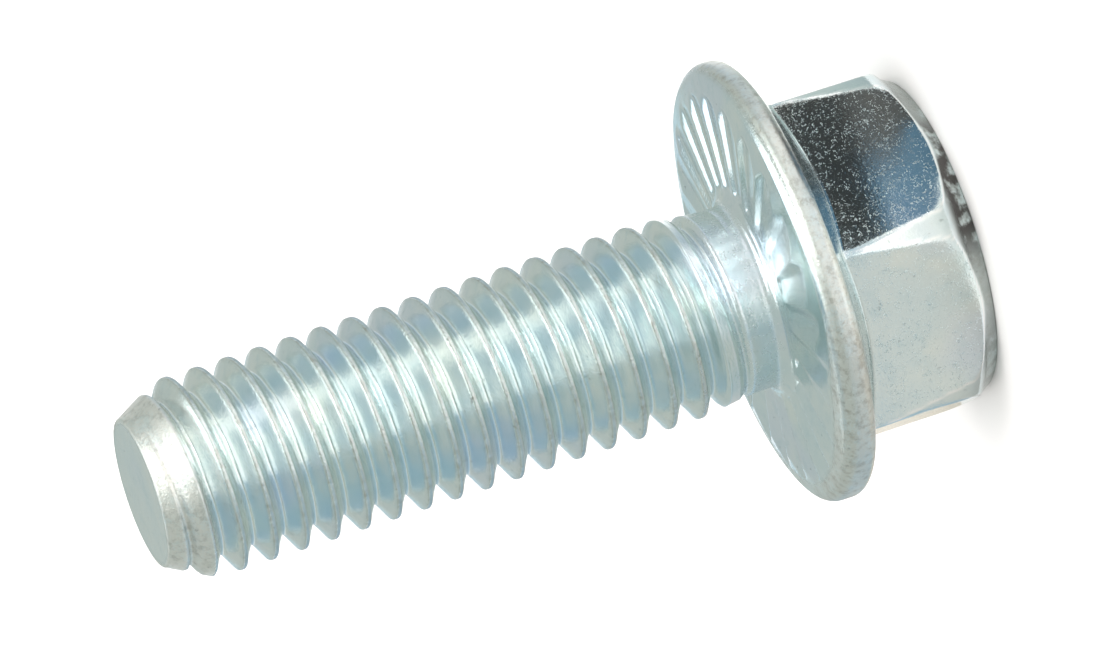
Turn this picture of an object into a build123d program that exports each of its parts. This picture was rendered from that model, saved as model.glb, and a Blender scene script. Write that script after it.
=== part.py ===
from build123d import *
import os
from math import cos, radians, tan

# Serrated hexagon flange bolt, M8 x 1.25 x 25, forged and thread-rolled in one piece, in millimetres.
# The bearing face of the flange lies in the plane z = 0. The shank rises from it along +Z, the head
# hangs below it, and two of the head's flats face +X and -X.

# Shank: plain neck under the flange, threaded length and point
crest_diameter = 7.9
shank_length = 25.0
neck_diameter = 7.2
neck_length = 1.9
neck_fillet = 0.5
point_diameter = 5.8
point_angle = 30.0

# Flange: a disc with a relieved front, a rounded rim and a conical back, upset slightly off the
# shank's axis
flange_diameter = 17.48
flange_offset = 0.22
contact_diameter = 14.1
relief_angle = 11.0
rim_height = 1.28
rim_front_radius = 0.5
rim_back_radius = 0.4
cone_angle = 25.0

# Sawtooth serrations of the bearing face, each valley falling outwards from the shank's axis
serration_count = 24
serration_start = 4.4
serration_slope = 1.6
steep_share = 0.33
crest_share = 0.06

# Hexagon head: its corners run in below a sloping shoulder, as cold heading leaves them
across_flats = 13.0
head_height = 7.5
top_diameter = 12.2
shoulder_diameter = 14.1
shoulder_height = 1.15
shoulder_round = 0.8

crest_radius = crest_diameter / 2
neck_radius = neck_diameter / 2
point_radius = point_diameter / 2
flange_radius = flange_diameter / 2
corner_radius = across_flats / 2 / cos(radians(30))

# How far the shank and the head are let into the flange, so that the three become one solid
overlap = rim_height / 2

# Shank, turned about the Z axis
point_height = (crest_radius - point_radius) / tan(radians(point_angle))
step_height = (crest_radius - neck_radius) / tan(radians(point_angle))

with BuildPart() as shank:
    with BuildSketch(Plane.XZ):
        with BuildLine():
            Polyline(
                (0, -overlap),
                (neck_radius, -overlap),
                (neck_radius, neck_length),
                (crest_radius, neck_length + step_height),
                (crest_radius, shank_length - point_height),
                (point_radius, shank_length),
                (0, shank_length),
                close=True,
            )
        make_face()
    revolve(axis=Axis.Z)

# Flange, turned about its own axis, which stands beside the shank's
flange_axis = Axis((flange_offset, 0, 0), (0, 0, 1))
contact_x = flange_offset + contact_diameter / 2
rim_x = flange_offset + flange_radius
relief_drop = (rim_x - contact_x) * tan(radians(relief_angle))
cone_depth = rim_height + flange_radius * tan(radians(cone_angle))

with BuildPart() as flange:
    with BuildSketch(Plane.XZ) as flange_section:
        with BuildLine():
            Polyline(
                (flange_offset, 0),
                (contact_x, 0),
                (rim_x, -relief_drop),
                (rim_x, -rim_height),
                (flange_offset, -cone_depth),
                close=True,
            )
        make_face()
        front_corner = flange_section.vertices().sort_by_distance((rim_x, -relief_drop))[0]
        fillet(front_corner, rim_front_radius)
        back_corner = flange_section.vertices().sort_by_distance((rim_x, -rim_height))[0]
        fillet(back_corner, rim_back_radius)
    revolve(axis=flange_axis)

# Head: a hexagonal prism inside a turned envelope
with BuildPart() as head:
    with BuildSketch(Plane.XY.offset(-head_height)):
        RegularPolygon(corner_radius, 6, rotation=30)
    extrude(amount=head_height - overlap)
    with BuildSketch(Plane.XZ) as envelope:
        with BuildLine():
            Polyline(
                (0, 0),
                (corner_radius, 0),
                (corner_radius, -rim_height),
                (shoulder_diameter / 2, shoulder_height - head_height),
                (top_diameter / 2, -head_height),
                (0, -head_height),
                close=True,
            )
        make_face()
        shoulder = (shoulder_diameter / 2, shoulder_height - head_height)
        fillet(envelope.vertices().sort_by_distance(shoulder)[0], shoulder_round)
    revolve(axis=Axis.Z, mode=Mode.INTERSECT)

# One notch between two serration crests: a flat-sided wedge whose edges all meet on the Z axis
tooth_angle = 360 / serration_count
steep_rise = tan(radians(tooth_angle * (steep_share - crest_share / 2)))
gentle_rise = tan(radians(tooth_angle * (1 - steep_share - crest_share / 2)))
valley_fall = tan(radians(serration_slope))
notch_end = flange_radius + flange_offset + 1

with BuildPart() as notch:
    for reach in (serration_start, notch_end):
        with BuildSketch(Plane.YZ.offset(reach)):
            with BuildLine():
                Polyline(
                    (0, -reach * valley_fall),
                    (2 * reach * steep_rise, reach * valley_fall),
                    (-2 * reach * gentle_rise, reach * valley_fall),
                    close=True,
                )
            make_face()
    loft(ruled=True)

# The bolt
with BuildPart() as flange_bolt:
    add(flange.part)
    add(head.part)
    add(shank.part)
    bearing_edges = flange_bolt.edges().filter_by(GeomType.CIRCLE).filter_by_position(Axis.Z, -0.01, 0.01)
    fillet(bearing_edges.sort_by(SortBy.RADIUS)[0], neck_fillet)
    with PolarLocations(0, serration_count):
        add(notch.part, mode=Mode.SUBTRACT)

flange_bolt.part.label = "flange_bolt"

os.makedirs("parts", exist_ok=True)
export_step(flange_bolt.part, "parts/flange_bolt.step")
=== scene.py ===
import math
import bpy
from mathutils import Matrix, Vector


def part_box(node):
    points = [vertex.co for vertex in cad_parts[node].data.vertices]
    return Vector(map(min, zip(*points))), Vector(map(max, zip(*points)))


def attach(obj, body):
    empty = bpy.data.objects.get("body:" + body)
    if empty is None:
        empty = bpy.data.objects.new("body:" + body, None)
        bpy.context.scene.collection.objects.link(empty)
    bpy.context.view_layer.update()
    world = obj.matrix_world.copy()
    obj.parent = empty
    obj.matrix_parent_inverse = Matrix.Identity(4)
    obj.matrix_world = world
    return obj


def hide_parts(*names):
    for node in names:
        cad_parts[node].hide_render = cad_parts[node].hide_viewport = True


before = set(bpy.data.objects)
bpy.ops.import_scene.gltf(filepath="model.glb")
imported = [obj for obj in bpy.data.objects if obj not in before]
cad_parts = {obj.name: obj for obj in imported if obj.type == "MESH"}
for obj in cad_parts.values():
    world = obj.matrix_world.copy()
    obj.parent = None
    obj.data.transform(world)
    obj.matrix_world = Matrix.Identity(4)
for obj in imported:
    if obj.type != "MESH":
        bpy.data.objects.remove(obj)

from types import SimpleNamespace

import bpy
import numpy as np
from bpy.props import FloatProperty, FloatVectorProperty, IntProperty, PointerProperty
from mathutils import Matrix, Vector

bl_info = {
    "name": "Serrated Flange Bolt",
    "version": (1, 0, 0),
    "blender": (4, 5, 0),
    "location": "View3D > Sidebar > Flange Bolt",
    "description": "Builds a zinc plated hexagon flange bolt and the studio that shows it",
    "category": "Add Mesh",
}

MM = 0.001
NODE = "flange_bolt"
BODY = "root"
NODE_LOW, NODE_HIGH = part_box(NODE)
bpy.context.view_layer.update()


def length(name, text, default, top=0.1):
    """A length in metres, shown with its unit."""
    return FloatProperty(
        name=name, description=text, default=default, min=0.0, max=top, unit="LENGTH", precision=6
    )


def position(name, text, default):
    """A coordinate in metres, shown with its unit."""
    return FloatProperty(name=name, description=text, default=default, unit="LENGTH")


def rotation(name, text, degrees, low=-math.pi, high=math.pi):
    """An angle between two limits in radians; its default is given in degrees."""
    return FloatProperty(
        name=name, description=text, default=math.radians(degrees), min=low, max=high,
        subtype="ANGLE",
    )


def ratio(name, text, default, low, high):
    """A plain number between two limits."""
    return FloatProperty(name=name, description=text, default=default, min=low, max=high)


def colour(name, text, default):
    """A linear colour."""
    return FloatVectorProperty(
        name=name, description=text, default=default, size=3, min=0.0, max=1.0, subtype="COLOR"
    )


class BOLT_PG_shank(bpy.types.PropertyGroup):
    """Sizes of the threaded shank, its point and its neck."""

    shank_length: length("Length", "Bearing face to end face", NODE_HIGH.z)
    pitch: length("Pitch", "Rise of the right-hand thread in one turn", 1.25 * MM)
    crest_radius: length("Crest radius", "Shank axis to thread crest", 3.94 * MM)
    crest_width: length("Crest width", "Width of the flat on each crest", 0.175 * MM)
    crest_round: length("Crest rounding", "Blend between crest and flank", 0.08 * MM)
    root_round: length("Root rounding", "Radius at the bottom of the groove", 0.12 * MM)
    crest_height: length("Crest height", "Height of one crest at the seam angle", 13.131 * MM)
    end_radius: length("End radius", "Radius of the end face", 2.9 * MM)
    end_round: length("End rounding", "Rounding of the end face's edge", 0.12 * MM)
    point_round: length("Point rounding", "Blend between point and crests", 0.25 * MM)
    neck_radius: length("Neck radius", "Radius of the plain neck", 3.6 * MM)
    neck_fillet: length("Neck fillet", "Fillet from neck to bearing face", 0.5 * MM)
    run_out_start: length("Run-out start", "Height where the groove begins", 1.0 * MM)
    run_out_end: length("Run-out end", "Height where the groove is full depth", 3.3 * MM)
    run_out_lift: length("Run-out lift", "Rise of the groove's bottom to the neck", 0.44 * MM)
    fold: length("Fold", "Height of the folds along the unfilled crests", 0.03 * MM)
    point_slope: ratio(
        "Point slope", "Radius gained for each length back from the end", 0.55, 0.1, 2.0
    )


class BOLT_PG_flange(bpy.types.PropertyGroup):
    """Sizes of the flange, its rim and the serrations of its bearing face."""

    radius: length("Radius", "Radius of the rim", (NODE_HIGH.y - NODE_LOW.y) / 2)
    offset: length("Offset", "Rim axis beside the shank axis", (NODE_HIGH.x + NODE_LOW.x) / 2)
    contact_radius: length("Contact radius", "Where the face starts to fall away", 7.05 * MM)
    relief_slope: rotation(
        "Relief slope", "Angle at which the face falls away past the contact radius", 11, 0.0, 0.8
    )
    front_round: length("Front rounding", "Radius of the rim beside the bearing face", 0.62 * MM)
    back_round: length("Back rounding", "Radius of the rim beside the cone", 0.4 * MM)
    rim_height: length("Rim height", "Bearing face to the cone's outer edge", 1.28 * MM)
    rim_wave: length("Rim wave", "Unevenness of the upset rim", 0.022 * MM)
    swell: length("Swell", "Extra thickness of the rim on its heavy side", 0.2 * MM)
    swell_angle: rotation("Swell angle", "Where the rim is thickest, from the X axis", 177)
    head_fillet: length("Head fillet", "Fillet from cone to hexagon", 0.22 * MM)
    cone_slope: rotation("Cone slope", "Angle of the flange's conical back", 25, 0.0, 1.2)
    serrations: IntProperty(
        name="Serrations", description="Teeth around the bearing face", default=24, min=0, max=90
    )
    valley_slope: rotation(
        "Valley slope", "Fall of each valley away from the shank axis", 1.6, 0.0, 0.2
    )
    valley_angle: rotation("Valley angle", "Where the first valley lies, from the X axis", -0.9)
    steep_share: ratio(
        "Steep share", "Share of a tooth that its steep flank takes", 0.27, 0.05, 0.95
    )


class BOLT_PG_head(bpy.types.PropertyGroup):
    """Sizes of the hexagon head."""

    height: length("Height", "Bearing face to the head's end", -NODE_LOW.z)
    across_flats: length("Across flats", "Width over two opposite flats", 12.93 * MM)
    edge_round: length("Edge rounding", "Blend between flats and turned corners", 0.045 * MM)
    corner_radius: length("Corner radius", "Turned corner at the flange", 7.49 * MM)
    shoulder_radius: length("Shoulder radius", "Turned corner above the end band", 7.07 * MM)
    shoulder_height: length("Shoulder height", "Head's end to the end band", 0.62 * MM)
    band_radius: length("Band radius", "Radius where the end band meets the flats", 6.5 * MM)
    end_radius: length("End radius", "Radius of the end face", 6.1 * MM)
    # Angle and reach of the end band's dark blotches: around this angle they are painted shade,
    # where the band mirrors the shaded floor beside the head, over a lighter stain on the rest of
    # the band
    painted_shade_angle: rotation("Stain angle", "Where the end band is stained, from the X axis", -76)
    painted_shade_spread: rotation("Stain spread", "How far the stain reaches to each side", 32, 0.01)


def smooth_min(a, b, width):
    """The lower of a and b, rounded where they differ by less than width.

    A share t goes from 0 to 1 as b - a goes from -width to width, and the result is
    b (1 - t) + a t less width t (1 - t).
    """
    share = np.clip(0.5 + 0.5 * (b - a) / width, 0.0, 1.0)
    return b * (1 - share) + a * share - width * share * (1 - share)


def smooth_max(a, b, width):
    """The higher of a and b, rounded in the same way."""
    return -smooth_min(-a, -b, width)


def smooth_step(low, high, x):
    """0 below low, 1 above high, and the cubic 3t^2 - 2t^3 between them."""
    t = np.clip((x - low) / (high - low), 0.0, 1.0)
    return t * t * (3 - 2 * t)


def ripple(angle, height, seed, waves, reach, turns):
    """A smooth uneven field of about -1 to 1: a sum of sine waves that close after a whole turn.

    Each wave has a whole number of periods around the axis, up to turns, a random slope along the
    height, up to one period in reach, and a random phase.
    """
    rng = np.random.default_rng(seed)
    total = 0.0
    for _ in range(waves):
        around = rng.integers(-turns, turns + 1)
        along = rng.uniform(-1, 1) * 2 * math.pi / reach
        total = total + np.sin(around * angle + along * height + rng.uniform(0, 2 * math.pi))
    return total / math.sqrt(waves)


# Columns of the two grids, and the angle of the seam where both start
SHANK_COLUMNS = 192
HEAD_COLUMNS = 2 * SHANK_COLUMNS
SEAM_ANGLE = math.radians(87.5)
# Height where the shank's grid meets the head's
NECK_TOP = 0.85 * MM
# Places of the rows across one pitch, as shares of it, from the middle of a crest to the next
PITCH_ROWS = np.array(
    [0.0, 0.055, 0.095, 0.17, 0.27, 0.385, 0.44, 0.5, 0.56, 0.615, 0.73, 0.83, 0.905, 0.945]
)
# Half the angle between two flanks, and how far a flank falls for each unit along the axis
HALF_ANGLE = math.radians(30)
FLANK_SLOPE = math.sqrt(3)
# Unevenness of the crests and of the point, and the blends of the thread into each of them
CREST_WAVE = 0.008 * MM
POINT_WAVE = 0.012 * MM
LAND_ROUND = 0.03 * MM
POINT_CUT_ROUND = 0.06 * MM
# How far the lands start to rise before the run-out, and how far past it they reach the crests
LAND_LEAD = 0.2 * MM
LAND_LAG = 0.7 * MM
# Width of a fold's bell curve for each unit of its height
FOLD_WIDTH = 2.5
# Rows of a quarter circle that rounds an edge, and rings of the shank's end face as shares of it
EDGE_TURNS = np.radians([30, 60, 90])
END_RINGS = (0.93, 0.8, 0.6, 0.4, 0.2)


def point_radius(s, z):
    """Radius of the point: the end radius plus a straight slope, rounded into the crest radius."""
    cone = s.end_radius + s.point_slope * (s.shank_length - z)
    return smooth_min(cone, s.crest_radius, s.point_round)


def thread_radius(s, z, angle):
    """Radius of the full thread.

    x is the distance along the axis to the nearest crest, which rises by one pitch in one turn.
    The flank falls by its slope for each unit of x past the crest's half width, the crest is
    rounded into it by a smooth minimum, and an arc of the root radius joins two flanks.
    """
    rise = s.crest_height + s.pitch * (angle - SEAM_ANGLE) / (2 * math.pi)
    x = np.abs((z - rise) / s.pitch - np.round((z - rise) / s.pitch)) * s.pitch
    flank = s.crest_radius - FLANK_SLOPE * (x - s.crest_width / 2)
    to_root = s.pitch / 2 - x
    arc_centre = s.crest_radius + 2 * s.root_round - FLANK_SLOPE * (s.pitch - s.crest_width) / 2
    arc = arc_centre - np.sqrt(np.maximum(s.root_round**2 - to_root**2, 0))
    groove = np.where(to_root < s.root_round * math.cos(HALF_ANGLE), arc, flank)
    return smooth_min(s.crest_radius, groove, s.crest_round)


def shank_radius(s, z, angle):
    """Radius of the shank: the thread, uneven along its crests, cut off by the point's cone.

    Towards the neck the grooves rise by the lift, which leaves wider and wider lands between them,
    and the lands sink to the neck radius. Along both edges of each land, where the metal didn't
    fill the crest, stands a low fold: a bell curve of the distance between groove and land.
    """
    uneven = CREST_WAVE * ripple(angle, z, seed=11, waves=14, reach=5 * MM, turns=7)
    lift = s.run_out_lift * (1 - smooth_step(s.run_out_start, s.run_out_end, z))
    grooves = thread_radius(s, z, angle) + lift
    rise = smooth_step(s.run_out_start - LAND_LEAD, s.run_out_end + LAND_LAG, z)
    land = s.neck_radius + (s.crest_radius - s.neck_radius) * rise
    bell = np.exp(-(((grooves - land) / (FOLD_WIDTH * s.fold)) ** 2))
    fold = s.fold * bell * rise * (1 - rise) * 4
    threaded = smooth_min(grooves, land + fold + uneven * rise, LAND_ROUND)
    worn_end = POINT_WAVE * ripple(angle, z, seed=12, waves=16, reach=2 * MM, turns=9)
    return smooth_min(threaded, point_radius(s, z) + worn_end, POINT_CUT_ROUND)


def shank_grid(s):
    """Radius, height and angle of the shank's points, as rows by columns.

    A column is an angle, and a row follows the thread: its height is a start height less its own
    share of the pitch, plus one pitch for a whole turn. Heights past the end or the neck are held
    there, and the rows that meet there are welded later.
    """
    top = s.shank_length - s.end_round
    turns = math.ceil((top - NECK_TOP) / s.pitch) + 2
    turn = np.linspace(0, 1, SHANK_COLUMNS + 1)[None, :]
    angle = SEAM_ANGLE + 2 * math.pi * turn
    rows = np.arange(turns * len(PITCH_ROWS))
    down = rows // len(PITCH_ROWS) + PITCH_ROWS[rows % len(PITCH_ROWS)]
    first = s.crest_height + s.pitch * math.ceil((top - s.crest_height) / s.pitch)
    z = np.clip(first + s.pitch * (turn - down[:, None]), NECK_TOP, top)
    return shank_radius(s, z, angle), z, angle


def stack_rows(rows, angle):
    """Radius and height of a list of rows, each spread over all the columns."""
    radius = np.array([r + 0 * angle for r, _ in rows])
    z = np.array([height + 0 * angle for _, height in rows])
    return radius, z


def end_grid(s, angle):
    """Rows of the end face, from its rounded edge to near its middle: a quarter circle of the end
    rounding, then rings on the flat face."""
    edge = point_radius(s, s.shank_length - s.end_round)
    rows = []
    for turn in EDGE_TURNS:
        radius = edge - s.end_round * (1 - math.cos(turn))
        rows.append((radius, s.shank_length - s.end_round * (1 - math.sin(turn))))
    for share in END_RINGS:
        rows.append((share * (edge - s.end_round), s.shank_length))
    return stack_rows(rows, angle)


# Heights of the neck's rows above its fillet, and the turns of the fillet's rows
NECK_ROWS = (0.74 * MM, 0.62 * MM)
NECK_FILLET_TURNS = np.radians(np.linspace(0, 80, 6))
# Places of the rows across the bearing face, as shares of it
FACE_ROWS = np.concatenate(
    [[0.0, 0.015, 0.035, 0.06, 0.1], np.linspace(0.17, 0.67, 6), np.linspace(0.72, 1.0, 11)]
)
# Width over which the serrations fade in beside the neck, and the two distances past the contact
# radius between which they fade out
FADE_IN = 0.25 * MM
FADE_OUT = (0.45 * MM, 1.05 * MM)
# Blends where the face starts to fall away, and where a serration meets the face
RELIEF_ROUND = 0.15 * MM
FACE_ROUND = 0.02 * MM
# Rounding of the teeth and level of their valleys, as shares of a tooth's depth
TOOTH_ROUND = 0.05
VALLEY_LEVEL = 0.97
# Rows of the rim's arcs, of the cone, as shares of it, and of the fillet beside the hexagon
FRONT_ARC_ROWS = 9
BACK_ARC_ROWS = 7
CONE_ROWS = (0.15, 0.35, 0.55, 0.78, 1.0)
HEAD_FILLET_TURNS = np.radians([125, 140, 155, 168, 180])


def rim_reach(f, radius, angle):
    """Distance from the shank axis, at an angle a, to a circle of that radius about the rim's
    axis: offset cos a plus the root of radius^2 - (offset sin a)^2."""
    across = f.offset * np.sin(angle)
    return f.offset * np.cos(angle) + np.sqrt(radius**2 - across**2)


def serration_depth(f, radius, angle):
    """Depth of the serrated face below the contact plane.

    In each tooth the depth falls from the valley to the crest over the steep share, and rises
    again over the rest, with crest and valley rounded. It is in proportion to the radius, by the
    valley's slope.
    """
    place = (angle - f.valley_angle) * f.serrations / (2 * math.pi)
    place = place - np.floor(place)
    steep = 1 - place / f.steep_share
    gentle = (place - f.steep_share) / (1 - f.steep_share)
    tooth = smooth_max(steep, gentle, TOOTH_ROUND)
    tooth = smooth_min(tooth, VALLEY_LEVEL, TOOTH_ROUND)
    return radius * math.tan(f.valley_slope) * tooth


def neck_rows(s):
    """Rows of the neck's foot and of its fillet, an arc that turns towards the bearing face."""
    rows = [(s.neck_radius, z) for z in NECK_ROWS]
    for turn in NECK_FILLET_TURNS:
        radius = s.neck_radius + s.neck_fillet * (1 - math.cos(turn))
        rows.append((radius, s.neck_fillet * (1 - math.sin(turn))))
    return rows


def face_end(f):
    """Radius about the rim's axis where the sloping face touches the rim's front arc."""
    return f.radius - f.front_round + f.front_round * math.sin(f.relief_slope)


def face_rows(s, f, angle, wave):
    """Rows of the bearing face, first about the shank's axis and further out about the rim's.

    The face is level to the contact radius and falls by the relief slope past it. The serrations
    are cut into it where they are deeper; they fade in beside the neck and out before the rim.
    """
    start = s.neck_radius + s.neck_fillet
    end = face_end(f)
    fade_out, fade_end = (f.contact_radius + past for past in FADE_OUT)
    rows = []
    for share in FACE_ROWS:
        about_rim = start + share * (end - start)
        centring = smooth_step(start, f.contact_radius, about_rim)
        radius = about_rim + centring * (rim_reach(f, about_rim, angle) - about_rim)
        past = smooth_max(about_rim - f.contact_radius, 0.0, RELIEF_ROUND)
        base = -math.tan(f.relief_slope) * past + wave * centring
        fade = smooth_step(start, start + FADE_IN, about_rim)
        fade = fade * (1 - smooth_step(fade_out, fade_end, about_rim))
        depth = serration_depth(f, radius, angle) * fade
        rows.append((radius, smooth_min(base, -depth, FACE_ROUND)))
    return rows


def back_tangent(f):
    """Distance from the corner of rim and cone to its rounding: the radius of the rounding times
    the tangent of half its turn."""
    return f.back_round * math.tan((math.pi / 2 - f.cone_slope) / 2)


def rim_rows(f, angle, wave, swell):
    """Rows of the rim: an arc from the relief slope to upright, one row halfway down, and an arc
    from upright to the cone's slope. Its waves move it out and up, and the swell moves its back
    away from the face."""
    front_centre = f.radius - f.front_round
    relief_drop = math.tan(f.relief_slope) * (face_end(f) - f.contact_radius)
    arc_top = -relief_drop + f.front_round * (1 - math.cos(f.relief_slope))
    rows = []
    for turn in np.linspace(f.relief_slope, math.pi / 2, FRONT_ARC_ROWS)[1:]:
        about_rim = front_centre + f.front_round * math.sin(turn)
        z = arc_top - f.front_round * (1 - math.cos(turn))
        rows.append((rim_reach(f, about_rim + wave, angle), z + wave))
    back_top = f.rim_height - back_tangent(f)
    halfway = (arc_top - f.front_round - back_top - swell) / 2
    rows.append((rim_reach(f, f.radius + wave, angle), halfway))
    back_centre = f.radius - f.back_round
    for turn in np.linspace(0, math.pi / 2 - f.cone_slope, BACK_ARC_ROWS):
        about_rim = back_centre + f.back_round * math.cos(turn)
        z = -back_top - f.back_round * math.sin(turn)
        rows.append((rim_reach(f, about_rim + wave, angle), z - swell + 0.5 * wave))
    return rows


def cone_rows(f, h, angle, swell):
    """Rows of the conical back and of the fillet that joins it to the hexagon.

    The cone falls by its slope for each unit inwards, and the rim's swell fades along it. The
    fillet is a circle's arc that touches the cone and the hexagon's side.
    """
    tangent = back_tangent(f)
    cone_edge = f.radius - tangent * math.cos(f.cone_slope)
    cone_z = -f.rim_height - tangent * math.sin(f.cone_slope)
    slope = math.tan(f.cone_slope)

    def cone_height(radius):
        fall = slope * (cone_edge - radius + f.offset * np.cos(angle))
        return cone_z - fall - swell * smooth_step(h.corner_radius, cone_edge, radius)

    hexagon = hexagon_radius(h, angle)
    inner = hexagon + f.head_fillet * (1 - math.sin(f.cone_slope))
    outer = rim_reach(f, cone_edge, angle)
    rows = []
    for share in CONE_ROWS:
        radius = outer + share * (inner - outer)
        rows.append((radius, cone_height(radius)))
    centre_z = cone_height(hexagon) + f.head_fillet * (slope - 1 / math.cos(f.cone_slope))
    for turn in HEAD_FILLET_TURNS:
        radius = hexagon + f.head_fillet * (1 + math.cos(turn))
        rows.append((radius, centre_z + f.head_fillet * math.sin(turn)))
    return rows


def flange_grid(s, f, h, angle):
    """Rows of the neck, bearing face, rim and conical back, from the neck to the hexagon."""
    wave = f.rim_wave * ripple(angle, 0.0, seed=21, waves=10, reach=1.0, turns=9)
    swell = f.swell * (0.5 + 0.5 * np.cos(angle - f.swell_angle)) ** 2
    rows = neck_rows(s) + face_rows(s, f, angle, wave)
    rows += rim_rows(f, angle, wave, swell) + cone_rows(f, h, angle, swell)
    return stack_rows(rows, angle)


SIXTH = math.pi / 3
# Depth below the bearing face where the head's wear starts and its corners start to run in
SIDE_START = 1.9 * MM
# Length added to the corners' run from there to the shoulder, which slows their draft
DRAFT_EXTRA = 0.4 * MM
# How much the corners are cut where the hexagon meets the flange
CORNER_CUT = 0.05 * MM
# Slope of the shoulder, its blends into the corners and into the end band, and the rounding of
# the end face's edge
SHOULDER_SLOPE = 1.5
SHOULDER_ROUND = 0.55 * MM
BAND_ROUND = 0.1 * MM
HEAD_END_ROUND = 0.14 * MM
# Places of the rows down the head's side and of the rings of its end face, as shares of each
HEAD_ROWS = np.concatenate([np.linspace(0, 0.78, 24)[1:], np.linspace(0.8, 0.975, 18)])
HEAD_END_RINGS = (0.94, 0.84, 0.66, 0.46, 0.25, 0.1)


def flat_reach(h, angle):
    """Distance from the axis to the hexagon: half the width across its flats over the cosine of
    the angle from the nearest flat's middle."""
    sector = angle - np.round(angle / SIXTH) * SIXTH
    return h.across_flats / 2 / np.cos(sector)


def hexagon_radius(h, angle):
    """Radius of the head beside the flange: the hexagon, its corners cut by a circle."""
    return smooth_min(flat_reach(h, angle), h.corner_radius - CORNER_CUT, h.edge_round)


def head_radius(h, z, angle):
    """Radius of the head: the hexagon inside a turned envelope, the edge between them rounded.

    The envelope is three straight stretches. The corners run in slowly from the corner radius, the
    shoulder falls by its slope to the band radius at the flats' ends, and the end band runs to the
    end radius. A smooth maximum joins shoulder and band, and a smooth minimum both to the corners.
    """
    shoulder_z = h.shoulder_height - h.height
    corner_z = -SIDE_START
    draft = (h.corner_radius - h.shoulder_radius) / (corner_z - shoulder_z + DRAFT_EXTRA)
    corner = h.corner_radius + draft * (z - corner_z)
    shoulder = h.band_radius + SHOULDER_SLOPE * (z - shoulder_z)
    band = h.end_radius + (h.band_radius - h.end_radius) / h.shoulder_height * (z + h.height)
    below = smooth_max(shoulder, band, BAND_ROUND)
    envelope = smooth_min(corner, below, SHOULDER_ROUND)
    return smooth_min(flat_reach(h, angle), envelope, h.edge_round)


def head_grid(h, angle, top):
    """Rows of the head: its side from top down, the end's edge, rounded by a quarter of an
    ellipse, and the rings of its end face."""
    z = top + HEAD_ROWS[:, None] * (-h.height - top)
    radius = head_radius(h, z, angle[None, :])
    edge, edge_z = radius[-1], z[-1]
    radii, heights = [radius], [z]
    for turn in EDGE_TURNS:
        radii.append((edge - HEAD_END_ROUND * (1 - math.cos(turn)))[None])
        heights.append((edge_z + (-h.height - edge_z) * math.sin(turn))[None])
    for share in HEAD_END_RINGS:
        radii.append((share * (edge - HEAD_END_ROUND))[None])
        heights.append(np.full((1, len(angle)), -h.height))
    return np.concatenate(radii), np.concatenate(heights)


def to_points(radius, z, angle):
    """Grid points from radius, height and angle about the Z axis."""
    return np.stack([radius * np.cos(angle), radius * np.sin(angle), z], axis=-1)


def closed(grid):
    """The grid with its first column repeated after its last."""
    return np.concatenate([grid, grid[:, :1]], axis=1)


def shank_points(s):
    """Points of the shank, from the middle of its end face to the top of the neck.

    The last column is the first one a turn lower: its rows are those of the first column, moved
    by the rows of one pitch.
    """
    radius, z, angle = shank_grid(s)
    points = to_points(radius, z, angle)
    shift = len(PITCH_ROWS)
    points[:shift, -1] = points[0, 0]
    points[shift:, -1] = points[:-shift, 0]
    ring = angle[0, :-1]
    end_radius, end_z = end_grid(s, ring)
    end = closed(to_points(end_radius, end_z, ring)[::-1])
    middle = np.broadcast_to([0.0, 0.0, s.shank_length], (1, SHANK_COLUMNS + 1, 3))
    return np.concatenate([middle, end, points])


def head_points(s, f, h):
    """Points of the neck's foot, the flange and the head, to the middle of the head's end."""
    angle = SEAM_ANGLE + 2 * math.pi * np.arange(HEAD_COLUMNS) / HEAD_COLUMNS
    radius, z = flange_grid(s, f, h, angle)
    head_radii, head_z = head_grid(h, angle, z[-1])
    points = np.concatenate([to_points(radius, z, angle), to_points(head_radii, head_z, angle)])
    middle = np.broadcast_to([0.0, 0.0, -h.height], (1, HEAD_COLUMNS + 1, 3))
    return np.concatenate([closed(points), middle])


def stack_triangles(*triples):
    """One list of triangles from triples of equally long index arrays."""
    return np.concatenate([np.stack(triple, axis=-1).reshape(-1, 3) for triple in triples])


def grid_triangles(first, rows, columns):
    """Two triangles for each cell of a grid whose points are numbered row by row from first."""
    index = first + np.arange(rows * columns).reshape(rows, columns)
    a, b = index[:-1, :-1], index[1:, :-1]
    c, d = index[1:, 1:], index[:-1, 1:]
    return stack_triangles((a, b, c), (a, c, d))


def doubling_triangles(coarse, fine):
    """Three triangles for each step of a ring that meets a ring of twice as many points."""
    a, b = coarse[:-1], coarse[1:]
    start, middle, end = fine[:-1:2], fine[1::2], fine[2::2]
    return stack_triangles((a, start, middle), (a, middle, b), (b, middle, end))


def weld(points, triangles):
    """One point for each place, and no triangle that has lost an edge."""
    places, number = np.unique(points, axis=0, return_inverse=True)
    triangles = number.reshape(-1)[triangles]
    a, b, c = triangles.T
    return places, triangles[(a != b) & (b != c) & (c != a)]


def face_weighted_normals(points, triangles):
    """A normal for each point: the sum of its triangles' normals, each as long as its area."""
    a, b, c = (points[triangles[:, k]] for k in range(3))
    across = np.cross(b - a, c - a)
    normals = np.zeros_like(points)
    for k in range(3):
        np.add.at(normals, triangles[:, k], across)
    return normals / np.linalg.norm(normals, axis=1, keepdims=True)


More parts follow.
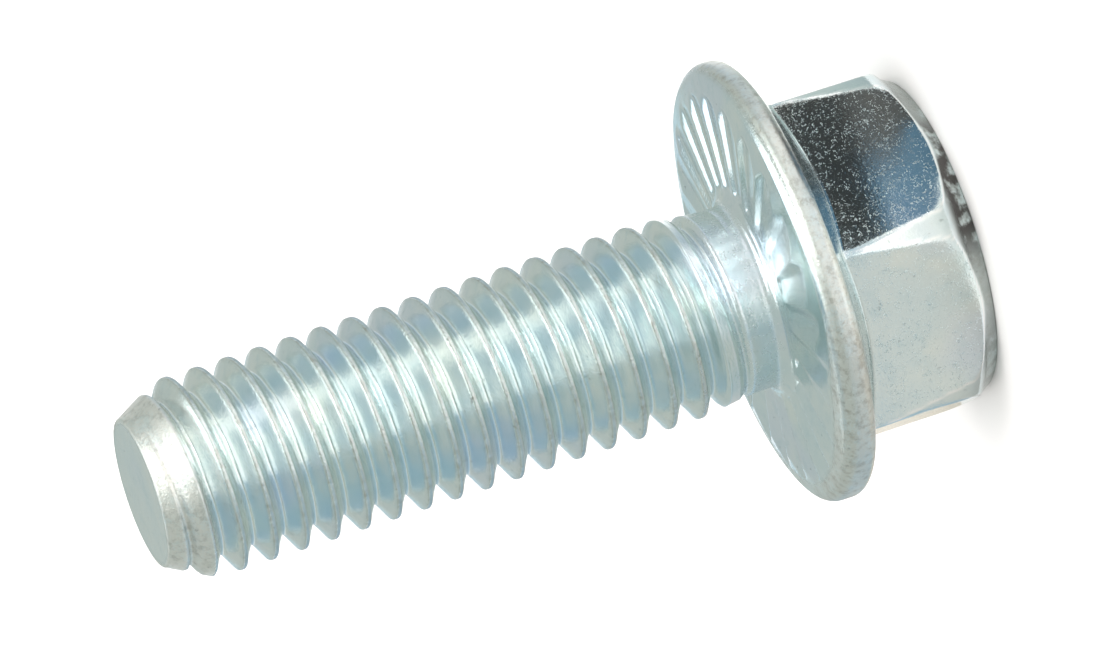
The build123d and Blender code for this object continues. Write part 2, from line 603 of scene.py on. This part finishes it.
def bolt_mesh(s, f, h):
    """The bolt as one closed mesh: the shank's grid, the head's, and the ring between them."""
    shank = shank_points(s)
    head = head_points(s, f, h)
    count = shank.shape[0] * shank.shape[1]
    last_ring = count - shank.shape[1] + np.arange(shank.shape[1])
    first_ring = count + np.arange(head.shape[1])
    points = np.concatenate([shank.reshape(-1, 3), head.reshape(-1, 3)])
    triangles = np.concatenate(
        [
            grid_triangles(0, *shank.shape[:2]),
            doubling_triangles(last_ring, first_ring),
            grid_triangles(count, *head.shape[:2]),
        ]
    )
    points, triangles = weld(points, triangles)
    mesh = bpy.data.meshes.new("plated_bolt")
    mesh.from_pydata(points.tolist(), [], triangles.tolist())
    mesh.shade_smooth()
    mesh.normals_split_custom_set_from_vertices(face_weighted_normals(points, triangles).tolist())
    return mesh


class BOLT_PG_finish(bpy.types.PropertyGroup):
    """Colours of the plating and of its wear."""

    plate: colour("Plate", "Bright zinc under its clear blue film", (0.70, 0.80, 0.81))
    pale: colour("Pale plate", "Where the film is thinnest", (0.80, 0.85, 0.81))
    violet: colour(
        "Violet film", "Where the film turns from green towards violet", (0.70, 0.77, 0.86)
    )
    deep: colour("Deep film", "Where the film is thickest", (0.50, 0.66, 0.71))
    worn: colour("Worn zinc", "Rubbed edges and crests", (0.58, 0.645, 0.62))
    matt: colour("Matt zinc", "The rough rim and the rough point", (0.80, 0.78, 0.72))
    dull: colour("Dull zinc", "Darker patches of the rubbed edges", (0.40, 0.39, 0.34))
    # Near white on the flats' narrow edges: polished metal and a painted highlight
    bright: colour("Bright edge", "Narrow edges of the flats", (0.93, 0.93, 0.92))
    # Tone of the pits and of the end band's dark blotches, which are partly stain and partly
    # painted shade
    pit_stain_and_shade: colour("Stain", "Dark patches of the turned end", (0.12, 0.115, 0.11))


class BOLT_PG_studio(bpy.types.PropertyGroup):
    """Camera, light and floor that show the bolt."""

    distance: length("Distance", "Camera to target", 0.545, top=10.0)
    target_x: position("Target X", "Target across the bolt", 1.1 * MM)
    target_y: position("Target Y", "Target in depth", -3.8 * MM)
    target_z: position("Target Z", "Target's height", 8.8 * MM)
    azimuth: rotation("Azimuth", "Camera's angle about Z", -92.5)
    elevation: rotation("Elevation", "Camera's height angle", 13.15)
    roll: rotation("Roll", "Camera's turn about its view", -108.06)
    lens: FloatProperty(
        name="Lens", description="Focal length in millimetres", default=473.4,
        subtype="DISTANCE_CAMERA",
    )
    key: FloatProperty(name="Key light", description="Strength of the soft lights", default=1.0)
    sky: FloatProperty(name="Sky", description="Strength of the studio's even light", default=1.0)


class Shading:
    """Builds a material's nodes: each call adds a node and links the sockets given by name."""

    def __init__(self, name):
        self.material = bpy.data.materials.new(name)
        self.material.use_nodes = True
        self.tree = self.material.node_tree
        self.surface = self.tree.nodes["Principled BSDF"]

    def add(self, kind, settings=None, **sockets):
        """A node of that kind, with its settings and inputs."""
        node = self.tree.nodes.new(kind)
        for key, value in (settings or {}).items():
            setattr(node, key, value)
        for key, value in sockets.items():
            self.feed(node.inputs[key.replace("_", " ")], value)
        return node

    def feed(self, socket, value):
        """Links another node's output to an input, or sets the input to a plain value."""
        if isinstance(value, bpy.types.NodeSocket):
            self.tree.links.new(value, socket)
        else:
            socket.default_value = value

    def noise(self, vector, scale, detail, roughness, distortion=0.0):
        """Smooth noise of about 0 to 1, with scale waves in a metre."""
        settings = {"Scale": scale, "Detail": detail, "Roughness": roughness}
        node = self.add("ShaderNodeTexNoise", Vector=vector, Distortion=distortion, **settings)
        return node.outputs["Fac"]

    def ramp(self, value, low, high, to_low=0.0, to_high=1.0):
        """The value's range from low to high, stretched to a new range and held at its ends."""
        node = self.add("ShaderNodeMapRange", {"interpolation_type": "SMOOTHSTEP"}, Value=value)
        limits = {"From Min": low, "From Max": high, "To Min": to_low, "To Max": to_high}
        for key, number in limits.items():
            node.inputs[key].default_value = number
        return node.outputs["Result"]

    def math(self, kind, first, second):
        """One step of arithmetic, such as MULTIPLY or ADD, on two values."""
        node = self.add("ShaderNodeMath", {"operation": kind})
        self.feed(node.inputs[0], first)
        self.feed(node.inputs[1], second)
        return node.outputs["Value"]

    def plus(self, first, second, scale):
        """The first value plus the second times scale."""
        return self.math("ADD", first, self.math("MULTIPLY", second, scale))

    def mix(self, share, first, second):
        """A colour that goes from first to second as share goes from 0 to 1."""
        node = self.add("ShaderNodeMix", {"data_type": "RGBA"})
        self.feed(node.inputs[0], share)
        for socket, value in ((node.inputs[6], first), (node.inputs[7], second)):
            self.feed(socket, value if isinstance(value, bpy.types.NodeSocket) else (*value, 1.0))
        return node.outputs[2]

    def attribute(self, name):
        """The share that the mesh carries for each point under that name."""
        return self.add("ShaderNodeAttribute", {"attribute_name": name}).outputs["Fac"]

    def bump(self, height, distance, strength, normal=None):
        """A normal tilted by the height, on top of another bump's normal if one is given."""
        node = self.add("ShaderNodeBump", Height=height, Distance=distance, Strength=strength)
        if normal is not None:
            self.feed(node.inputs["Normal"], normal)
        return node.outputs["Normal"]


# Noise of the plating: waves in a metre, detail, roughness and distortion
PLATING_NOISE = {
    "clouds": (260.0, 4.0, 0.55),
    "tints": (170.0, 2.0, 0.5),
    "mottle": (1500.0, 4.0, 0.6),
    "patches": (2900.0, 5.0, 0.7),
    "grain": (10000.0, 3.0, 0.65, 0.4),
    "crystals": (8500.0, 1.0, 0.5, 1.5),
    "pits": (3600.0, 2.0, 0.5),
}
# Shares that surface_shares gives to each point of the mesh
SHARES = ("worn", "flat", "stained", "rough", "edge", "rolled")
# Depths of the grain, the waves, the crystals and the pits
GRAIN_DEPTH = 0.0055 * MM
WAVE_DEPTH = 0.012 * MM
CRYSTAL_DEPTH = 0.007 * MM
PIT_DEPTH = 0.008 * MM


def plating_tone(m, noise, share, finish):
    """Colour of the plating: pale, violet and deep clouds over the plate's tone, then rubbed zinc
    with duller patches, the flats' edges painted near white as a highlight, dark pits, and dark
    blotches on the end band, partly stain and partly painted shade."""
    tone = m.mix(m.ramp(noise.clouds, 0.35, 0.68), finish.plate, finish.pale)
    tone = m.mix(m.math("MULTIPLY", m.ramp(noise.tints, 0.5, 0.65), 0.6), tone, finish.violet)
    tone = m.mix(m.math("MULTIPLY", m.ramp(noise.mottle, 0.45, 0.75), 0.3), tone, finish.deep)
    patchy = m.ramp(m.plus(noise.mottle, noise.grain, 0.8), 0.6, 1.0, 0.35, 1.0)
    rubbed = m.mix(share.rough, finish.worn, finish.matt)
    rubbed = m.mix(m.ramp(noise.patches, 0.44, 0.68, 0.0, 0.65), rubbed, finish.dull)
    tone = m.mix(m.math("MULTIPLY", share.worn, patchy), tone, rubbed)
    # Painted highlight: the flats' narrow edges turn near white
    tone = m.mix(share.edge, tone, finish.bright)
    pit = m.ramp(noise.pits, 0.70, 0.76)
    tone = m.mix(m.math("MULTIPLY", pit, 0.3), tone, finish.pit_stain_and_shade)
    # Dark blotches on the end band: a light stain all round, and painted shade around the painted
    # shade angle, where the band mirrors the shaded floor beside the head
    blotches = m.plus(noise.clouds, noise.mottle, 0.9)
    stained = m.math("MULTIPLY", share.stained, m.ramp(blotches, 0.70, 0.90))
    return m.mix(stained, tone, finish.pit_stain_and_shade)


def crystal_specks(m, noise, share):
    """Share of the small rough crystals, which stand on the flats in mottled groups."""
    speck = m.math("MULTIPLY", m.ramp(noise.crystals, 0.625, 0.69), share.flat)
    return m.math("MULTIPLY", speck, m.ramp(noise.mottle, 0.38, 0.58, 0.3, 1.0))


def plating_roughness(m, noise, share, speck):
    """Roughness of the plating: mottled and low, raised on worn and rough metal and crystals."""
    rough = m.ramp(noise.mottle, 0.3, 0.7, 0.10, 0.16)
    for place, rise in ((share.worn, 0.10), (share.rough, 0.14), (speck, 0.34)):
        rough = m.plus(rough, place, rise)
    return rough


def plating_relief(m, noise, share, speck):
    """Normal of the plating: grain, deeper on worn or rolled metal, waves, deeper on rough, flat
    or rolled metal, crystals and pits, each bump on top of the last."""
    grain_share = m.plus(m.math("MULTIPLY", share.worn, 2.5), share.rolled, 0.7)
    fine_height = m.math("MULTIPLY", noise.grain, m.math("ADD", grain_share, 1.0))
    fine = m.bump(fine_height, GRAIN_DEPTH, 1.0)
    swell = m.plus(m.math("MULTIPLY", share.rough, 1.2), share.flat, 0.3)
    swell = m.plus(swell, share.rolled, 0.6)
    wave_height = m.math("MULTIPLY", noise.mottle, m.math("ADD", swell, 1.0))
    waves = m.bump(wave_height, WAVE_DEPTH, 0.5, fine)
    crystal = m.bump(speck, CRYSTAL_DEPTH, 1.0, waves)
    return m.bump(m.ramp(noise.pits, 0.68, 0.82, 1.0, 0.0), PIT_DEPTH, 0.6, crystal)


def zinc_plating(finish):
    """Bright zinc with a clear blue film: clouded in tone, finely crystalline, pitted, and rubbed
    to a warm grey where the mesh's shares say that the surface is worn, with painted shade on the
    end band and a painted highlight along the flats' edges."""
    m = Shading("blue_zinc")
    place = m.add("ShaderNodeTexCoord").outputs["Object"]
    noise = {name: m.noise(place, *field) for name, field in PLATING_NOISE.items()}
    share = {name: m.attribute(name) for name in SHARES}
    noise, share = SimpleNamespace(**noise), SimpleNamespace(**share)
    tone = plating_tone(m, noise, share, finish)
    speck = crystal_specks(m, noise, share)
    roughness = plating_roughness(m, noise, share, speck)
    normal = plating_relief(m, noise, share, speck)
    m.feed(m.surface.inputs["Base Color"], tone)
    m.feed(m.surface.inputs["Roughness"], roughness)
    m.feed(m.surface.inputs["Normal"], normal)
    m.surface.inputs["Metallic"].default_value = 1.0
    return m.material


# Bands over which a share changes, as two distances. Inside the crest radius, on full crests:
CREST_BAND = (0.08 * MM, 0.02 * MM)
CREST_START = 2 * MM
# Back from the end face, and how far inside the end radius the rubbed point reaches
POINT_BAND = (2.2 * MM, 1.2 * MM)
POINT_INSIDE = 0.2 * MM
# Past the start of the rim's wear, which lies so many millimetres outside the contact radius, and
# less far out on the rubbed side, towards -X as shares of the radius
RIM_BAND = (0.0, 0.3 * MM)
RIM_WEAR_OUTSIDE = 1.35
RIM_WEAR_WIDER = 0.75
RIM_HALF_HEIGHT = 1.6 * MM
RUBBED_SIDE = (0.1, 0.6)
# Inside a flat's plane: the flat itself, the turned metal, and the edge between them, which is
# painted near white as a highlight
FLAT_BAND = (0.0, 0.012 * MM)
TURNED_BAND = (0.03 * MM, 0.12 * MM)
HIGHLIGHT_EDGE_IN = (0.002 * MM, 0.012 * MM)
HIGHLIGHT_EDGE_OUT = (0.03 * MM, 0.06 * MM)
# Above the end band, and, as shares of the painted shade's spread, where the painted shade thins
# to a lighter stain and by how much
END_BAND = (0.0, 0.5 * MM)
PAINTED_SHADE_BAND = (0.5, 1.0)
PAINTED_SHADE_THINNING = 0.65
# Up the shank: rough metal above the fillet, and rolled metal, which stops before the end face
ROUGH_START = 0.2 * MM
ROUGH_BAND = (1.5 * MM, 4.5 * MM)
ROLLED_BAND = (0.6 * MM, 1.2 * MM)
ROLLED_STOP = 0.02 * MM


def surface_shares(s, f, h, points):
    """Where the bolt is rubbed, rough or pressed flat, where its end band has stain and painted
    shade, and where the flats' edges are painted as highlights: shares from 0 to 1 for each point.

    They are smooth steps over the bands above: of the radius for crests, of the height along the
    shank, of the distance from the rim's axis for the rim, and of that inside the flats for the
    head.
    """
    x, y, z = points.T
    radius = np.hypot(x, y)
    angle = np.arctan2(y, x)
    crest_start, crest_full = (s.crest_radius - inside for inside in CREST_BAND)
    crest = smooth_step(crest_start, crest_full, radius) * (z > CREST_START)
    point_start, point_full = (s.shank_length - back for back in POINT_BAND)
    point = smooth_step(point_start, point_full, z) * (radius > s.end_radius - POINT_INSIDE)
    about_rim = np.hypot(x - f.offset, y)
    rubbed_side = smooth_step(*RUBBED_SIDE, -x / np.maximum(radius, MM))
    rim_start = f.contact_radius + (RIM_WEAR_OUTSIDE - RIM_WEAR_WIDER * rubbed_side) * MM
    rim = smooth_step(*RIM_BAND, about_rim - rim_start) * (np.abs(z) < RIM_HALF_HEIGHT)
    to_flat = flat_reach(h, angle) - radius
    head = z < -SIDE_START
    turned = smooth_step(*TURNED_BAND, to_flat) * head
    flat = head * (1 - smooth_step(*FLAT_BAND, to_flat))
    end_band = turned * (1 - smooth_step(*END_BAND, z - h.shoulder_height + h.height))
    # Painted shade: the end band's blotches are heaviest around this angle, where the band mirrors
    # the shaded floor beside the head
    from_painted_shade = np.abs((angle - h.painted_shade_angle + math.pi) % (2 * math.pi) - math.pi)
    thinning = PAINTED_SHADE_THINNING * smooth_step(*PAINTED_SHADE_BAND, from_painted_shade / h.painted_shade_spread)
    # Painted highlight: a narrow band along each flat's edge
    edge = head * smooth_step(*HIGHLIGHT_EDGE_IN, to_flat) * (1 - smooth_step(*HIGHLIGHT_EDGE_OUT, to_flat))
    neck = (z > ROUGH_START) * (1 - smooth_step(*ROUGH_BAND, z))
    return {
        "worn": np.clip(crest + 0.8 * point + rim + 0.15 * turned + 0.6 * end_band, 0, 1),
        "flat": flat,
        "stained": end_band * (1 - thinning),
        "rough": np.clip(neck + point + 0.6 * rim, 0, 1),
        "edge": edge,
        "rolled": smooth_step(*ROLLED_BAND, z) * (z < s.shank_length - ROLLED_STOP),
    }


class BOLT_OT_bolt(bpy.types.Operator):
    """Add the plated flange bolt: shank, thread, flange and head in one closed mesh"""

    bl_idname = "flange_bolt.add_bolt"
    bl_label = "Add Plated Bolt"

    def execute(self, context):
        scene = context.scene
        s, f, h = scene.bolt_shank, scene.bolt_flange, scene.bolt_head
        mesh = bolt_mesh(s, f, h)
        places = np.zeros(3 * len(mesh.vertices))
        mesh.vertices.foreach_get("co", places)
        for name, share in surface_shares(s, f, h, places.reshape(-1, 3)).items():
            attribute = mesh.attributes.new(name, "FLOAT", "POINT")
            attribute.data.foreach_set("value", share.astype(np.float32))
        mesh.materials.append(zinc_plating(scene.bolt_finish))
        bolt = bpy.data.objects.new("plated_bolt", mesh)
        scene.collection.objects.link(bolt)
        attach(bolt, BODY)
        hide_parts(NODE)
        return {"FINISHED"}


# Roughness of the floor and the cards
CARD_ROUGHNESS = 0.9
# Corners along a curved side of a card
ARC_CORNERS = 49
# Place that the soft lights face, in metres, and their distance from it
LIGHT_TARGET = (0, 0, 0.009)
LIGHT_DISTANCE = 0.4
# The broad light from above: strength, tone and angular size
FLOOR_LIGHT_STRENGTH = 3.5
FLOOR_LIGHT_TONE = (1.0, 0.90, 0.88)
FLOOR_LIGHT_SIZE = math.radians(120)
# The sky's pale tone, the tone and direction of its cool patch, and the cosines of the angle from
# it where the patch starts and is full
SKY_TONE = (0.53, 0.575, 0.55, 1.0)
SKY_PATCH_TONE = (0.30, 0.42, 0.48, 1.0)
SKY_PATCH_DIRECTION = (0.0, 0.35, 0.937)
SKY_PATCH_EDGE = (0.86, 0.94)
# Camera: width of the sensor in millimetres, and how far it sees in metres
SENSOR_WIDTH = 36.0
CLIP_END = 10.0


def matt_material(name, tone):
    """A matt material of one colour."""
    m = Shading(name)
    m.surface.inputs["Base Color"].default_value = (*tone, 1.0)
    m.surface.inputs["Roughness"].default_value = CARD_ROUGHNESS
    return m.material


def level(corners, height):
    """Places of a level card's corners, which are given in millimetres."""
    return [(x * MM, y * MM, height) for x, y in corners]


def place_card(name, places, tone, seen_by_camera=False):
    """A flat card of one colour. If the camera doesn't see it, only the metal mirrors it."""
    mesh = bpy.data.meshes.new(name)
    mesh.from_pydata(places, [], [range(len(places))])
    mesh.materials.append(matt_material(name, tone))
    card = bpy.data.objects.new(name, mesh)
    bpy.context.scene.collection.objects.link(card)
    if not seen_by_camera:
        card.visible_camera = False
        card.visible_diffuse = False
        card.visible_shadow = False


def arc_corners(inner, outer, start, end):
    """Corners of a flat arc about the Z axis between two angles in degrees."""
    turns = np.radians(np.linspace(start, end, ARC_CORNERS))
    outside = [(outer * math.cos(t), outer * math.sin(t)) for t in turns]
    inside = [(inner * math.cos(t), inner * math.sin(t)) for t in turns[::-1]]
    return outside + inside


def soft_light(strength, name, direction, width, depth, radiance, lights_floor):
    """An area light that faces the bolt from a direction. Its energy is its radiance times the
    strength, pi and its area."""
    lamp = bpy.data.lights.new(name, "AREA")
    lamp.shape = "RECTANGLE"
    lamp.size = width
    lamp.size_y = depth
    lamp.energy = radiance * strength * math.pi * width * depth
    light = bpy.data.objects.new(name, lamp)
    towards = Vector(direction).normalized()
    light.location = Vector(LIGHT_TARGET) + towards * LIGHT_DISTANCE
    light.rotation_euler = towards.to_track_quat("Z", "Y").to_euler()
    light.visible_camera = False
    light.visible_diffuse = lights_floor
    bpy.context.scene.collection.objects.link(light)


def floor_light():
    """Broad light from above for the floor and its cards, which the metal doesn't mirror."""
    lamp = bpy.data.lights.new("floor_light", "SUN")
    lamp.energy = FLOOR_LIGHT_STRENGTH
    lamp.angle = FLOOR_LIGHT_SIZE
    lamp.color = FLOOR_LIGHT_TONE
    light = bpy.data.objects.new("floor_light", lamp)
    light.visible_glossy = False
    bpy.context.scene.collection.objects.link(light)


def studio_sky(strength):
    """Even pale light from all sides, with one broad cool patch above and behind the bolt."""
    world = bpy.data.worlds.new("studio_sky")
    world.use_nodes = True
    nodes, links = world.node_tree.nodes, world.node_tree.links
    background = nodes["Background"]
    background.inputs["Strength"].default_value = strength
    place = nodes.new("ShaderNodeTexCoord")
    towards = nodes.new("ShaderNodeVectorMath")
    towards.operation = "DOT_PRODUCT"
    towards.inputs[1].default_value = SKY_PATCH_DIRECTION
    ramp = nodes.new("ShaderNodeValToRGB")
    links.new(place.outputs["Generated"], towards.inputs[0])
    links.new(towards.outputs["Value"], ramp.inputs["Fac"])
    links.new(ramp.outputs["Color"], background.inputs["Color"])
    ends = zip(ramp.color_ramp.elements, (SKY_TONE, SKY_PATCH_TONE), SKY_PATCH_EDGE)
    for element, tone, cosine in ends:
        element.color = tone
        element.position = cosine
    bpy.context.scene.world = world


def place_camera(studio):
    """A camera at a distance from its target, turned by azimuth, elevation and roll."""
    target = Vector((studio.target_x, studio.target_y, studio.target_z))
    level = Vector((math.cos(studio.azimuth), math.sin(studio.azimuth), 0.0))
    back = level * math.cos(studio.elevation) + Vector((0, 0, math.sin(studio.elevation)))
    side = Vector((0, 0, 1)).cross(back).normalized()
    up = back.cross(side)
    right = side * math.cos(studio.roll) + up * math.sin(studio.roll)
    top = up * math.cos(studio.roll) - side * math.sin(studio.roll)
    lens = bpy.data.cameras.new("studio_camera")
    lens.lens = studio.lens
    lens.sensor_width = SENSOR_WIDTH
    lens.clip_end = CLIP_END
    camera = bpy.data.objects.new("studio_camera", lens)
    place = Matrix((right, top, back)).transposed().to_4x4()
    place.translation = target + back * studio.distance
    camera.matrix_world = place
    bpy.context.scene.collection.objects.link(camera)
    bpy.context.scene.camera = camera


FLOOR = [(-3000, -3000), (3000, -3000), (3000, 3000), (-3000, 3000)]
FLOOR_TONE = (0.9, 0.9, 0.9)
# Height of each card above the one before it
CARD_STEP = 0.02 * MM
# Cards on the floor that only the metal mirrors, each laid on the one before it: name, tone,
# corners in millimetres
REFLECTED_CARDS = (
    ("far_card", (0.28, 0.345, 0.39), [(23, -8.3), (400, -146), (400, 400), (23, 400)]),
    ("cool_card", (0.235, 0.325, 0.385), [
        (-6, -9), (-89, -148), (-400, -400), (-400, 400), (-9, 400), (-9, 0),
    ]),
    ("teal_card", (0.24, 0.33, 0.37), [(-2, 80), (25, 80), (60, 400), (-2, 400)]),
    ("back_card", (0.60, 0.56, 0.49), [(-14, 4), (-5, 4), (-5, 70), (-14, 70)]),
    ("rim_card", (0.36, 0.37, 0.37), arc_corners(27, 38, -270, -106)),
    ("front_card", (0.33, 0.395, 0.44), [
        (4.5, -14), (4, -20), (-4, -20), (-10, -19), (-13, -36), (27, -36), (29, -22), (21, -19.5),
    ]),
    ("grey_card", (0.42, 0.42, 0.40), [
        (-4.6, -7), (-4.6, -11.5), (-17, -20.5), (-23.5, -20.5), (-23.5, 3), (-8, 0),
    ]),
    ("wedge_card", (0.14, 0.16, 0.18), [(19, -6.9), (48, -17.3), (48, -13.4), (19, -5.3)]),
    ("high_corner_card", (0.33, 0.385, 0.385), [
        (8.6, -4.8), (13, -5.2), (21, -3), (22, 2), (19.5, 12), (15.5, 12), (8.8, 1.6),
    ]),
    ("corner_card", (0.68, 0.70, 0.68), [
        (-4.5, -7.6), (3.6, -7.6), (4.2, -10.3), (4.2, -13.6), (-4.5, -14),
    ]),
    ("dark_card", (0.045, 0.044, 0.044), [
        (4.6, -5.2), (6.6, -4.1), (8.2, -4.9), (13, -5.4), (20, -9.4), (20, -12), (15.1, -12.7),
        (6.5, -9.5),
    ]),
    ("blue_card", (0.055, 0.13, 0.205), [
        (2.4, -6.65), (3.7, -7.6), (4.3, -10.6), (11.3, -14.6), (15.1, -12.6), (13, -11.4),
        (11.4, -9.6), (9, -9.2), (7.2, -6.9), (4.9, -5.4),
    ]),
)
# Cards above the floor: name, tone, corners in millimetres
RAISED_CARDS = (
    ("low_screen", (0.042, 0.042, 0.043), [
        (4.9, -10.5, -5.3), (8.6, -8.35, -5.9), (8.6, -8.35, -3.2), (4.9, -10.5, -3.2),
    ]),
    ("high_screen", (0.042, 0.042, 0.043), [
        (8.6, -8.35, -5.9), (12.6, -6.0, -6.5), (12.6, -6.0, -3.2), (8.6, -8.35, -3.2),
    ]),
    ("teal_screen", (0.42, 0.56, 0.62), [
        (-60, 400, -7.5), (60, 400, -7.5), (60, 400, 45), (-60, 400, 45),
    ]),
)
# Soft lights: name, direction from the bolt, width and depth in metres, radiance, and whether the
# floor and its cards are lit as well
SOFT_LIGHTS = (
    ("key_light", (0.40, -0.70, 0.57), 0.16, 0.10, 5.0, True),
    ("strip_light", (0.50, -0.66, 0.56), 0.60, 0.06, 3.0, True),
    ("top_light", (0.33, 0.45, 0.83), 0.08, 0.07, 1.5, True),
    ("back_light", (0.06, 0.55, 0.83), 0.20, 0.09, 1.6, True),
    ("side_light", (-0.22, 0.70, 0.68), 0.05, 0.07, 1.6, False),
    ("over_light", (0.20, -0.10, 0.96), 0.44, 0.22, 2.0, False),
)


class BOLT_OT_studio(bpy.types.Operator):
    """Add the pale floor, soft lights, reflected cards and camera"""

    bl_idname = "flange_bolt.add_studio"
    bl_label = "Add Studio"

    def execute(self, context):
        scene = context.scene
        studio = scene.bolt_studio
        floor_z = -scene.bolt_head.height
        place_card("pale_floor", level(FLOOR, floor_z), FLOOR_TONE, seen_by_camera=True)
        for layer, (name, tone, corners) in enumerate(REFLECTED_CARDS, 1):
            place_card(name, level(corners, floor_z + CARD_STEP * layer), tone)
        for name, tone, corners in RAISED_CARDS:
            place_card(name, [(x * MM, y * MM, z * MM) for x, y, z in corners], tone)
        for light in SOFT_LIGHTS:
            soft_light(studio.key, *light)
        floor_light()
        studio_sky(studio.sky)
        scene.view_settings.view_transform = "Standard"
        place_camera(studio)
        return {"FINISHED"}


class BOLT_PT_panel(bpy.types.Panel):
    """Lists the sizes, colours and steps of the flange bolt"""

    bl_idname = "BOLT_PT_panel"
    bl_label = "Flange Bolt"
    bl_space_type = "VIEW_3D"
    bl_region_type = "UI"
    bl_category = "Flange Bolt"

    def draw(self, context):
        for title, name, _, step in PARTS:
            box = self.layout.box()
            box.label(text=title)
            group = getattr(context.scene, name)
            for size in group.__annotations__:
                box.prop(group, size)
            if step:
                box.operator(step)


# Title, name on the scene and class of each group, and the step that its box offers
PARTS = (
    ("Shank", "bolt_shank", BOLT_PG_shank, None),
    ("Flange", "bolt_flange", BOLT_PG_flange, None),
    ("Head", "bolt_head", BOLT_PG_head, None),
    ("Finish", "bolt_finish", BOLT_PG_finish, BOLT_OT_bolt.bl_idname),
    ("Studio", "bolt_studio", BOLT_PG_studio, BOLT_OT_studio.bl_idname),
)
CLASSES = (*(group for _, _, group, _ in PARTS), BOLT_OT_bolt, BOLT_OT_studio, BOLT_PT_panel)


def register():
    for item in CLASSES:
        bpy.utils.register_class(item)
    for _, name, group, _ in PARTS:
        setattr(bpy.types.Scene, name, PointerProperty(type=group))


def unregister():
    for _, name, _, _ in PARTS:
        delattr(bpy.types.Scene, name)
    for item in reversed(CLASSES):
        bpy.utils.unregister_class(item)


def main():
    register()
    bpy.ops.flange_bolt.add_bolt()
    bpy.ops.flange_bolt.add_studio()


if __name__ == "__main__":
    main()
